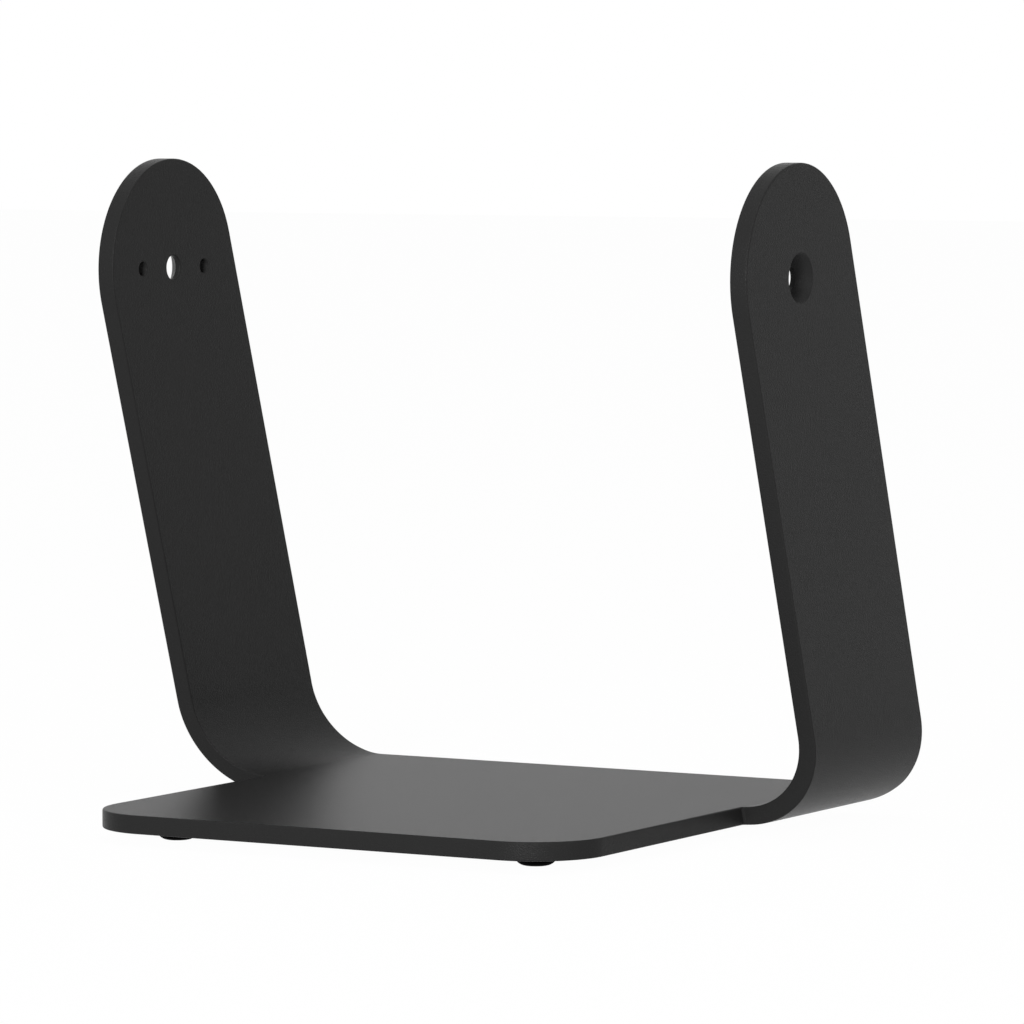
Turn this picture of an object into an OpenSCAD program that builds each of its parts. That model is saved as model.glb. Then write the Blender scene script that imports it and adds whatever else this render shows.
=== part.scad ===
// Desktop speaker stand: one folded steel sheet with two leaning arms, on four rubber feet.
// Front is -Y, right is +X, and the feet stand on z = 0.

/* [Sheet] */
// Thickness of the steel sheet
sheet_t = 5; // [4:0.5:6]
// Radius of the bend on its inner side
bend_r = 20; // [15:0.5:25]

/* [Base plate] */
// Width of the flat plate between the two bend lines
plate_w = 150; // [140:1:190]
// Depth of the plate from front to back
plate_d = 157.5; // [150:0.5:190]
// Radius of the plate's two front corners
corner_r = 20; // [8:1:28]

/* [Arms] */
// Width of an arm, which is also the diameter of its round top
arm_w = 60; // [56:1:66]
// Forward lean of the arms from upright, in degrees
arm_lean = 18; // [12:0.1:20]
// Height of the pivot hole above the underside of the plate
pivot_h = 146.3; // [130:0.1:190]
// Height above the plate at which the back edge of an arm begins to lean
heel_h = 1.3; // [0.5:0.1:10]
// Radius of the inside corner where an arm's front edge leaves the plate
notch_r = 0.8; // [0.5:0.1:1.5]

/* [Holes] */
// Bore of the pivot hole in each arm
pivot_d = 6.6; // [6:0.1:8]
// Diameter of the pivot hole's countersink on the outer face
sink_d = 13.4; // [12:0.1:14.4]
// Full angle of the countersink, in degrees
sink_angle = 90; // [82:1:100]
// Bore of the two fixing holes beside the left pivot hole
fixing_d = 3.8; // [3:0.1:5]
// Distance between the two fixing holes
fixing_gap = 30.5; // [22:0.5:38]

/* [Feet] */
// Diameter of a rubber foot
foot_d = 11.5; // [10:0.5:16]
// Height of a rubber foot
foot_h = 3.4; // [3.3:0.1:6]
// Radius of the foot's lower edge
foot_r = 3.1; // [1:0.1:3.2]
// Distance of the foot centres in from the bend lines and from the front and back edges
foot_inset = 20; // [14:0.5:40]

/* [Hidden] */

coat_colour = [0.13, 0.13, 0.13];
rubber_colour = [0.04, 0.04, 0.04];

round_fn = 96;
hole_fn = 64;
// Length by which a cutter or a joined piece runs past the metal that it meets
over = 1;

plate_x = plate_w / 2;
front_y = -plate_d / 2;
back_y = plate_d / 2;
under_z = foot_h;
top_z = under_z + sheet_t;
// The bend turns about a line along Y above each side edge of the plate
bend_z = top_z + bend_r;
arm_x = plate_x + bend_r;

// Seen from the side, both edges of an arm are straight, and its back edge starts just above the
// back edge of the plate
arm_r = arm_w / 2;
slope = tan(arm_lean);
edge_reach = arm_r / cos(arm_lean);
hole_z = under_z + pivot_h;
hole_y = back_y - edge_reach - slope * (hole_z - top_z - heel_h);

sink_depth = (sink_d - pivot_d) / 2 / tan(sink_angle / 2);
foot_x = plate_x - foot_inset;
foot_y = plate_d / 2 - foot_inset;

// Where the arm's centre line is at height z, seen from the side
function axis_y(z) = hole_y + slope * (hole_z - z);

module plate() {
    translate([0, 0, under_z])
        linear_extrude(sheet_t)
            union() {
                translate([-plate_x, front_y + corner_r])
                    square([plate_w, plate_d - corner_r]);
                translate([-plate_x + corner_r, front_y])
                    square([plate_w - 2 * corner_r, 2 * corner_r]);
                for (side = [-1, 1])
                    translate([side * (plate_x - corner_r), front_y + corner_r])
                        circle(corner_r, $fn = round_fn);
            }
}

// Section of the right side seen from the front: a short lap into the plate, the bend and the
// upright wall of the arm
module side_section() {
    outer_r = bend_r + sheet_t;
    difference() {
        intersection() {
            circle(outer_r, $fn = round_fn);
            translate([0, -outer_r])
                square(outer_r);
        }
        circle(bend_r, $fn = round_fn);
    }
    translate([-over, -outer_r])
        square([over, sheet_t]);
    translate([bend_r, 0])
        square([sheet_t, hole_z + arm_w - bend_z]);
}

// Outline of an arm seen from the side: straight edges down to the plate, and a full round top
module side_outline() {
    reach_y = arm_r * cos(arm_lean);
    reach_z = arm_r * sin(arm_lean);
    low_z = under_z - over;
    union() {
        polygon([
            [axis_y(low_z) - edge_reach, low_z],
            [axis_y(low_z) + edge_reach, low_z],
            [hole_y + reach_y, hole_z + reach_z],
            [hole_y - reach_y, hole_z - reach_z]
        ]);
        translate([hole_y, hole_z])
            circle(arm_r, $fn = round_fn);
    }
}

// Fillet in the inside corner between the plate's side edge and the arm's front edge. It leans
// with the arm, like the corner that it fills.
module notch_fillet() {
    translate([plate_x, axis_y(under_z) - edge_reach, under_z])
        rotate([arm_lean, 0, 0])
            translate([-over, -notch_r, -sheet_t])
                linear_extrude(3 * sheet_t)
                    difference() {
                        square([notch_r + over, notch_r + over]);
                        translate([notch_r + over, 0])
                            circle(notch_r, $fn = hole_fn);
                    }
}

// Right bend and arm: the section, cut to the outline as seen from the side
module side_piece() {
    difference() {
        intersection() {
            translate([plate_x, back_y, bend_z])
                rotate([90, 0, 0])
                    linear_extrude(plate_d)
                        side_section();
            union() {
                translate([plate_x - over, 0, 0])
                    rotate([90, 0, 90])
                        linear_extrude(bend_r + sheet_t + 2 * over)
                            side_outline();
                notch_fillet();
            }
        }
        pivot_hole();
    }
}

// Pivot hole in the right arm, countersunk from outside
module pivot_hole() {
    translate([arm_x, hole_y, hole_z])
        rotate([0, 90, 0]) {
            translate([0, 0, -over])
                cylinder(d = pivot_d, h = sheet_t + 2 * over, $fn = hole_fn);
            translate([0, 0, sheet_t - sink_depth])
                cylinder(d1 = pivot_d, d2 = sink_d, h = sink_depth, $fn = hole_fn);
        }
}

module fixing_holes() {
    for (side = [-1, 1])
        translate([-arm_x - sheet_t - over, hole_y + side * fixing_gap / 2, hole_z])
            rotate([0, 90, 0])
                cylinder(d = fixing_d, h = sheet_t + 2 * over, $fn = hole_fn);
}

module frame() {
    color(coat_colour)
        difference() {
            union() {
                plate();
                side_piece();
                mirror([1, 0, 0])
                    side_piece();
            }
            fixing_holes();
        }
}

// Moulded foot with a rounded lower edge, stuck to the underside of the plate
module foot(side_x, side_y) {
    flat_r = foot_d / 2 - foot_r;
    color(rubber_colour)
        translate([side_x * foot_x, side_y * foot_y, 0])
            rotate_extrude($fn = round_fn)
                union() {
                    square([flat_r, foot_h]);
                    translate([0, foot_r])
                        square([foot_d / 2, foot_h - foot_r]);
                    intersection() {
                        translate([flat_r, foot_r])
                            circle(foot_r, $fn = round_fn);
                        square([foot_d / 2, foot_h]);
                    }
                }
}

module foot_front_left() {
    foot(-1, -1);
}

module foot_front_right() {
    foot(1, -1);
}

module foot_rear_left() {
    foot(-1, 1);
}

module foot_rear_right() {
    foot(1, 1);
}

frame();
foot_front_left();
foot_front_right();
foot_rear_left();
foot_rear_right();
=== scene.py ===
import math

import bmesh
import bpy
from mathutils import Matrix, Vector


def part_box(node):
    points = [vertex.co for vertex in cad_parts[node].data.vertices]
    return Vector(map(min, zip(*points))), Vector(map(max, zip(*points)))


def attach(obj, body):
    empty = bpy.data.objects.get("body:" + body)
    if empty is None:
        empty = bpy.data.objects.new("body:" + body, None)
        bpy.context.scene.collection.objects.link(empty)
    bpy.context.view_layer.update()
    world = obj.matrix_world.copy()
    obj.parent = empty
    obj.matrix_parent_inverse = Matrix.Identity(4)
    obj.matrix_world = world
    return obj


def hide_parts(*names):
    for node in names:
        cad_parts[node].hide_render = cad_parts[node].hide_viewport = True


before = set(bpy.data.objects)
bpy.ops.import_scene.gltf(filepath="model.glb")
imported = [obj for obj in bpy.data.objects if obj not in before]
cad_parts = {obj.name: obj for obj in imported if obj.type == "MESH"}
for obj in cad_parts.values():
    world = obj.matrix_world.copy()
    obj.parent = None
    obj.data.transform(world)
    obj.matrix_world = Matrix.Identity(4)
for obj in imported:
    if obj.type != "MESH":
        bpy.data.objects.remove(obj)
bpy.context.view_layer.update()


# The camera stands where the photograph was taken: out to the right of the front, a little higher
# than the arms' tops, with a long lens. Its place was fitted to the edges in the photograph.
MM = 0.001
camera_spot = Vector((847.88, -1429.97, 204.57)) * MM
camera_turn = math.radians(30.2529)
camera_dip = math.radians(4.1011)
camera_roll = math.radians(-0.1229)

camera_data = bpy.data.cameras.new("camera")
camera_data.lens = 218.049
camera_data.sensor_width = 36
camera = bpy.data.objects.new("camera", camera_data)
camera.matrix_world = (
    Matrix.Translation(camera_spot)
    @ Matrix.Rotation(camera_turn, 4, "Z")
    @ Matrix.Rotation(math.pi / 2 - camera_dip, 4, "X")
    @ Matrix.Rotation(camera_roll, 4, "Z")
)
bpy.context.scene.collection.objects.link(camera)
bpy.context.scene.camera = camera


# The folded sheet: one piece of 5 mm steel plate, cut with its holes, deburred, and bent up at both
# sides on a press brake. Seen from the side, the arms' edges run straight down through the bends.
low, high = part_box("frame")
sheet_t = 5 * MM
bend_r = 20 * MM
arm_x = high.x - sheet_t
plate_x = arm_x - bend_r
plate_top = low.z + sheet_t
bend_z = plate_top + bend_r
quarter = math.pi / 2
middle_r = bend_r + sheet_t / 2
bend_len = middle_r * quarter
corner_r = 20 * MM
notch_r = 0.8 * MM
heel_h = 1.3 * MM
arm_r = 30 * MM
arm_lean = math.radians(18)
slope = math.tan(arm_lean)
edge_reach = arm_r / math.cos(arm_lean)
pivot_z = low.z + 146.3 * MM
pivot_y = high.y - edge_reach - slope * (pivot_z - plate_top - heel_h)
pivot_d = 6.6 * MM
sink_depth = 3.4 * MM
fixing_d = 3.8 * MM
fixing_gap = 30.5 * MM
edge_r = 0.45 * MM
sink_edge_r = 0.15 * MM


def front_line(z):
    """How far back an arm's front edge is at a height."""
    return pivot_y - edge_reach + slope * (pivot_z - z)


def back_line(z):
    """How far back an arm's back edge is at a height."""
    return min(high.y, pivot_y + edge_reach + slope * (pivot_z - z))


def middle_height(run):
    """Height of the middle of the sheet at a distance along it from the bend line."""
    angle = min(run / bend_len, 1) * quarter
    return bend_z - middle_r * math.cos(angle) + max(run - bend_len, 0)


def line_to(bm, pen, x, y):
    """Draws a straight edge of the outline from the pen vertex and returns the new end."""
    end = bmesh.ops.extrude_vert_indiv(bm, verts=[pen])["verts"][0]
    end.co = (x, y, low.z)
    return end


def arc_to(bm, pen, x, y, turn, steps):
    """Swings the pen vertex about a centre by an angle and returns the new end."""
    swung = bmesh.ops.spin(
        bm, geom=[pen], cent=(x, y, low.z), axis=(0, 0, 1), angle=turn, steps=steps
    )
    return [part for part in swung["geom_last"] if isinstance(part, bmesh.types.BMVert)][0]


def ringed_hole(bm, x, y, diameter, rim):
    """Adds a round hole with an even ring of faces about it, and returns the ring's outer edges."""
    centre = Matrix.Translation((x, y, low.z))
    circle = bmesh.ops.create_circle(bm, segments=64, radius=diameter / 2, matrix=centre)
    inner = {edge for vert in circle["verts"] for edge in vert.link_edges}
    grown = bmesh.ops.extrude_edge_only(bm, edges=list(inner))["geom"]
    # The ring grows in the plane of the sheet only
    spread = Matrix.Scale(1 + 2 * rim / diameter, 4)
    spread[2][2] = 1
    rim_verts = [part for part in grown if isinstance(part, bmesh.types.BMVert)]
    bmesh.ops.transform(bm, matrix=spread, verts=rim_verts, space=centre.inverted())
    return [part for part in grown if isinstance(part, bmesh.types.BMEdge)]


def bevel_edges(bm, edges, reach, segments):
    """Bevels edges back by a distance: flat with one segment, and rounded with more."""
    bmesh.ops.bevel(
        bm,
        geom=edges,
        offset=reach,
        offset_type="OFFSET",
        segments=segments,
        profile=0.5,
        affect="EDGES",
        material=-1,
    )


# The outline's right half is drawn on the flat sheet, where an arm runs outward from its bend line,
# and mirrored. Each bend is cut across into narrow strips, so that it can be folded to a curve.
bend_strips = 30
corner_steps = 24
notch_steps = 8
arm_top_steps = 72
hair = edge_r / 1000
pivot_x = plate_x + bend_len + pivot_z - bend_z
notch_y = front_line(middle_height(0)) - notch_r
runs = [bend_len * strip / bend_strips for strip in range(bend_strips + 1)]
bm = bmesh.new()
pen = bm.verts.new((0, low.y, low.z))
pen = line_to(bm, pen, plate_x - corner_r, low.y)
pen = arc_to(bm, pen, plate_x - corner_r, low.y + corner_r, quarter, corner_steps)
pen = line_to(bm, pen, plate_x, notch_y)
pen = arc_to(bm, pen, plate_x + notch_r, notch_y, -quarter, notch_steps)
for run in runs[1:]:
    pen = line_to(bm, pen, plate_x + run, front_line(middle_height(run)))
pen = line_to(bm, pen, pivot_x - arm_r * math.sin(arm_lean), pivot_y - arm_r * math.cos(arm_lean))
pen = arc_to(bm, pen, pivot_x, pivot_y, math.pi, arm_top_steps)
for run in reversed(runs):
    pen = line_to(bm, pen, plate_x + run, back_line(middle_height(run)))
pen = line_to(bm, pen, 0, high.y)
bmesh.ops.mirror(bm, geom=bm.verts[:] + bm.edges[:], axis="X", merge_dist=edge_r / 10)
bmesh.ops.contextual_create(bm, geom=bm.edges[:])
for side in (-1, 1):
    for run in runs:
        bmesh.ops.bisect_plane(
            bm,
            geom=bm.verts[:] + bm.edges[:] + bm.faces[:],
            dist=hair,
            plane_co=(side * (plate_x + run), 0, 0),
            plane_no=(1, 0, 0),
        )

# The arms' flat faces are filled again round their holes, and the sheet gets its thickness
pivot_rim = 5 * MM
fixing_rim = 2 * MM
arm_faces = [f for f in bm.faces if abs(f.calc_center_median().x) > plate_x + bend_len]
arm_edges = [edge for face in arm_faces for edge in face.edges]
bmesh.ops.delete(bm, geom=arm_faces, context="FACES_ONLY")
for side in (-1, 1):
    arm_edges += ringed_hole(bm, side * pivot_x, pivot_y, pivot_d, pivot_rim)
for side in (-1, 1):
    arm_edges += ringed_hole(bm, -pivot_x, pivot_y + side * fixing_gap / 2, fixing_d, fixing_rim)
bmesh.ops.triangle_fill(bm, use_beauty=True, edges=arm_edges)
bmesh.ops.recalc_face_normals(bm, faces=bm.faces)
raised = bmesh.ops.extrude_face_region(bm, geom=bm.faces[:])["geom"]
raised_verts = [part for part in raised if isinstance(part, bmesh.types.BMVert)]
bmesh.ops.translate(bm, vec=(0, 0, sheet_t), verts=raised_verts)
bmesh.ops.recalc_face_normals(bm, faces=bm.faces)


def near_pivot(edge):
    """True for an edge on the outer rim of a pivot bore, where the countersink is cut."""
    middle = (edge.verts[0].co + edge.verts[1].co) / 2
    reach = math.hypot(abs(middle.x) - pivot_x, middle.y - pivot_y)
    return middle.z < low.z + edge_r and reach < pivot_d / 2 + edge_r


def fold(co):
    """Where a point of the flat sheet lies once both arms are bent up and their edges cut."""
    run = abs(co.x) - plate_x
    if run < -hair or (run < hair and co.y < notch_y - hair):
        return co
    angle = min(run / bend_len, 1) * quarter
    rise = max(run - bend_len, 0)
    x = plate_x + (bend_z - co.z) * math.sin(angle)
    z = bend_z - (bend_z - co.z) * math.cos(angle) + rise
    # The outline fits the middle of the sheet, and its faces are moved to the straight side view
    middle_z = middle_height(run)
    front = front_line(middle_z)
    back = back_line(middle_z)
    share = (co.y - front) / (back - front)
    y = co.y + (1 - share) * (front_line(z) - front) + share * (back_line(z) - back)
    return Vector((math.copysign(x, co.x), y, z))


def make_piece(bm, name):
    """Makes a bmesh a piece with smooth shading that still leaves its flat faces flat."""
    for face in bm.faces:
        face.smooth = True
    mesh = bpy.data.meshes.new(name)
    bm.to_mesh(mesh)
    bm.free()
    piece = bpy.data.objects.new(name, mesh)
    bpy.context.scene.collection.objects.link(piece)
    even = piece.modifiers.new("even_normals", "WEIGHTED_NORMAL")
    even.keep_sharp = False
    return piece


# The countersinks are cut in the flat sheet and the arms are bent up. Then the square edges are
# well rounded, and the countersinks' blunt ones hardly at all.
bevel_edges(bm, [edge for edge in bm.edges if near_pivot(edge)], sink_depth, segments=1)
for vert in bm.verts:
    vert.co = fold(vert.co)
for least_angle, radius in ((60, edge_r), (40, sink_edge_r)):
    bmesh.ops.recalc_face_normals(bm, faces=bm.faces)
    sharp = [edge for edge in bm.edges if edge.calc_face_angle(0) > math.radians(least_angle)]
    bevel_edges(bm, sharp, radius, segments=3)
bmesh.ops.recalc_face_normals(bm, faces=bm.faces)
sheet = make_piece(bm, "folded_sheet")


def linear(hex_colour):
    """Turns an sRGB hex colour into the linear colour that a shader socket takes."""
    parts = [int(hex_colour[i : i + 2], 16) / 255 for i in (1, 3, 5)]
    return [c / 12.92 if c <= 0.04045 else ((c + 0.055) / 1.055) ** 2.4 for c in parts] + [1]


def empty_tree(owner):
    """Gives a material or the world an empty node tree and returns the tree."""
    owner.use_nodes = True
    owner.node_tree.nodes.clear()
    return owner.node_tree


def add_node(tree, kind, settings=None, links=None):
    """Adds a node, sets its properties and sockets, and links its inputs from other sockets."""
    node = tree.nodes.new(kind)
    for name, value in (settings or {}).items():
        if name in node.inputs:
            node.inputs[name].default_value = value
        else:
            setattr(node, name, value)
    for name, source in (links or {}).items():
        tree.links.new(source, node.inputs[name])
    return node


# Powder coat: polyester powder sprayed on the blasted steel and baked, satin black with a fine
# texture. It gives a dark even face with tiny grains that glint where an edge turns to the light.
# A real grain is about 0.2 mm, less than a pixel, so the grain is drawn as coarse as it needs.
coat = bpy.data.materials.new("textured_black_powder_coat")
tree = empty_tree(coat)
grain = 0.35 * MM
grain_height = 0.14 * MM
ripple = 2.2 * MM
ripple_height = 0.06 * MM
place = add_node(tree, "ShaderNodeTexCoord").outputs["Object"]
fine = add_node(
    tree,
    "ShaderNodeTexNoise",
    {"Scale": 1 / grain, "Detail": 2.0, "Roughness": 0.55},
    {"Vector": place},
)
broad = add_node(
    tree,
    "ShaderNodeTexNoise",
    {"Scale": 1 / ripple, "Detail": 1.0, "Roughness": 0.5},
    {"Vector": place},
)
peel = add_node(
    tree,
    "ShaderNodeBump",
    {"Strength": 0.3, "Distance": ripple_height},
    {"Height": broad.outputs["Fac"]},
)
texture = add_node(
    tree,
    "ShaderNodeBump",
    {"Strength": 1.0, "Distance": grain_height},
    {"Height": fine.outputs["Fac"], "Normal": peel.outputs["Normal"]},
)
gloss = add_node(
    tree,
    "ShaderNodeMapRange",
    {"From Min": 0.3, "From Max": 0.7, "To Min": 0.27, "To Max": 0.35},
    {"Value": fine.outputs["Fac"]},
)
# The white surround is seen in the gloss from every side, so the specular level is low
coat_surface = add_node(
    tree,
    "ShaderNodeBsdfPrincipled",
    {"Base Color": linear("#222222"), "IOR": 1.5, "Specular IOR Level": 0.04},
    {"Roughness": gloss.outputs["Result"], "Normal": texture.outputs["Normal"]},
)
add_node(tree, "ShaderNodeOutputMaterial", {}, {"Surface": coat_surface.outputs["BSDF"]})
sheet.data.materials.append(coat)
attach(sheet, "root")
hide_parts("frame")


# Four moulded rubber feet, domed towards the desk and stuck to the underside of the plate. The
# front pair is under the centres of the plate's corner curves, and the rear pair mirrors it.
foot_edge_r = 3.1 * MM

# Rubber: nearly black, from a matt mould, with hardly any sheen. Its mould grain is finer than a
# pixel, so its pores are drawn as coarse as they need to show.
rubber = bpy.data.materials.new("matt_black_moulded_rubber")
tree = empty_tree(rubber)
pore = 0.4 * MM
pore_depth = 0.04 * MM
place = add_node(tree, "ShaderNodeTexCoord").outputs["Object"]
pores = add_node(
    tree,
    "ShaderNodeTexNoise",
    {"Scale": 1 / pore, "Detail": 3.0, "Roughness": 0.6},
    {"Vector": place},
)
nap = add_node(
    tree,
    "ShaderNodeBump",
    {"Strength": 0.5, "Distance": pore_depth},
    {"Height": pores.outputs["Fac"]},
)
rubber_surface = add_node(
    tree,
    "ShaderNodeBsdfPrincipled",
    {"Base Color": linear("#060606"), "Roughness": 0.85, "IOR": 1.52, "Specular IOR Level": 0.02},
    {"Normal": nap.outputs["Normal"]},
)
add_node(tree, "ShaderNodeOutputMaterial", {}, {"Surface": rubber_surface.outputs["BSDF"]})

for name in ("foot_front_left", "foot_front_right", "foot_rear_left", "foot_rear_right"):
    foot_low, foot_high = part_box(name)
    foot_middle = (foot_low + foot_high) / 2
    radius = (foot_high.x - foot_low.x) / 2
    bm = bmesh.new()
    bmesh.ops.create_cone(
        bm,
        cap_ends=True,
        segments=64,
        radius1=radius,
        radius2=radius,
        depth=foot_high.z - foot_low.z,
        matrix=Matrix.Translation(foot_middle),
    )
    lower_rim = [e for e in bm.edges if all(v.co.z < foot_middle.z for v in e.verts)]
    bevel_edges(bm, lower_rim, foot_edge_r, segments=10)
    foot = make_piece(bm, "rubber_" + name)
    foot.data.materials.append(rubber)
    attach(foot, "root")
    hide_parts(name)


# The studio: a plain white paper floor that keeps the stand's soft shadow, a white surround, and
# soft square lamps overhead, in front and at the right.
floor_size = 12
floor_white = 0.98
fill_level = 0.3


def backdrop_rays(tree):
    """A factor that is 1 for rays from the camera and for those that gloss or glass sends on."""
    rays = add_node(tree, "ShaderNodeLightPath")
    seen = add_node(
        tree,
        "ShaderNodeMath",
        {"operation": "MAXIMUM"},
        {0: rays.outputs["Is Camera Ray"], 1: rays.outputs["Is Glossy Ray"]},
    )
    through = add_node(
        tree,
        "ShaderNodeMath",
        {"operation": "MAXIMUM"},
        {0: seen.outputs["Value"], 1: rays.outputs["Is Transmission Ray"]},
    )
    return through.outputs["Value"]


bm = bmesh.new()
bmesh.ops.create_grid(bm, x_segments=1, y_segments=1, size=floor_size / 2)
floor_mesh = bpy.data.meshes.new("studio_floor")
bm.to_mesh(floor_mesh)
bm.free()
floor = bpy.data.objects.new("studio_floor", floor_mesh)
bpy.context.scene.collection.objects.link(floor)

# The camera sees the floor as almost plain white, and the rest of it as matt paper in shadow
paper = bpy.data.materials.new("white_paper_floor")
tree = empty_tree(paper)
matt = add_node(tree, "ShaderNodeBsdfDiffuse", {"Color": linear("#f4f4f4")})
glow = add_node(tree, "ShaderNodeEmission", {"Color": linear("#ffffff"), "Strength": 1.0})
white_share = add_node(
    tree, "ShaderNodeMath", {"operation": "MULTIPLY"}, {0: backdrop_rays(tree)}
)
white_share.inputs[1].default_value = floor_white
blend = add_node(
    tree,
    "ShaderNodeMixShader",
    {},
    {"Fac": white_share.outputs["Value"], 1: matt.outputs["BSDF"], 2: glow.outputs["Emission"]},
)
add_node(tree, "ShaderNodeOutputMaterial", {}, {"Surface": blend.outputs["Shader"]})
floor_mesh.materials.append(paper)

world = bpy.data.worlds.new("studio")
tree = empty_tree(world)
fill = add_node(
    tree, "ShaderNodeBackground", {"Color": linear("#ffffff"), "Strength": fill_level}
)
white = add_node(tree, "ShaderNodeBackground", {"Color": linear("#ffffff"), "Strength": 1.0})
blend = add_node(
    tree,
    "ShaderNodeMixShader",
    {},
    {
        "Fac": backdrop_rays(tree),
        1: fill.outputs["Background"],
        2: white.outputs["Background"],
    },
)
add_node(tree, "ShaderNodeOutputWorld", {}, {"Surface": blend.outputs["Shader"]})
bpy.context.scene.world = world

# Each lamp's place in metres, the side of its square in metres and its power in watts
lamps = {
    "overhead_softbox": ((0.1, -0.3, 1.7), 0.6, 8),
    "front_softbox": ((0.52, -2.08, 0.5), 0.4, 48),
    "right_softbox": ((1.6, -0.62, 0.9), 0.3, 5),
}
target = Vector((0, 0, high.z / 2))
for name, (spot, size, watts) in lamps.items():
    lamp_data = bpy.data.lights.new(name, "AREA")
    lamp_data.shape = "SQUARE"
    lamp_data.size = size
    lamp_data.energy = watts
    lamp = bpy.data.objects.new(name, lamp_data)
    lamp.location = spot
    lamp.rotation_euler = (target - lamp.location).to_track_quat("-Z", "Y").to_euler()
    bpy.context.scene.collection.objects.link(lamp)

bpy.context.scene.view_settings.view_transform = "Standard"
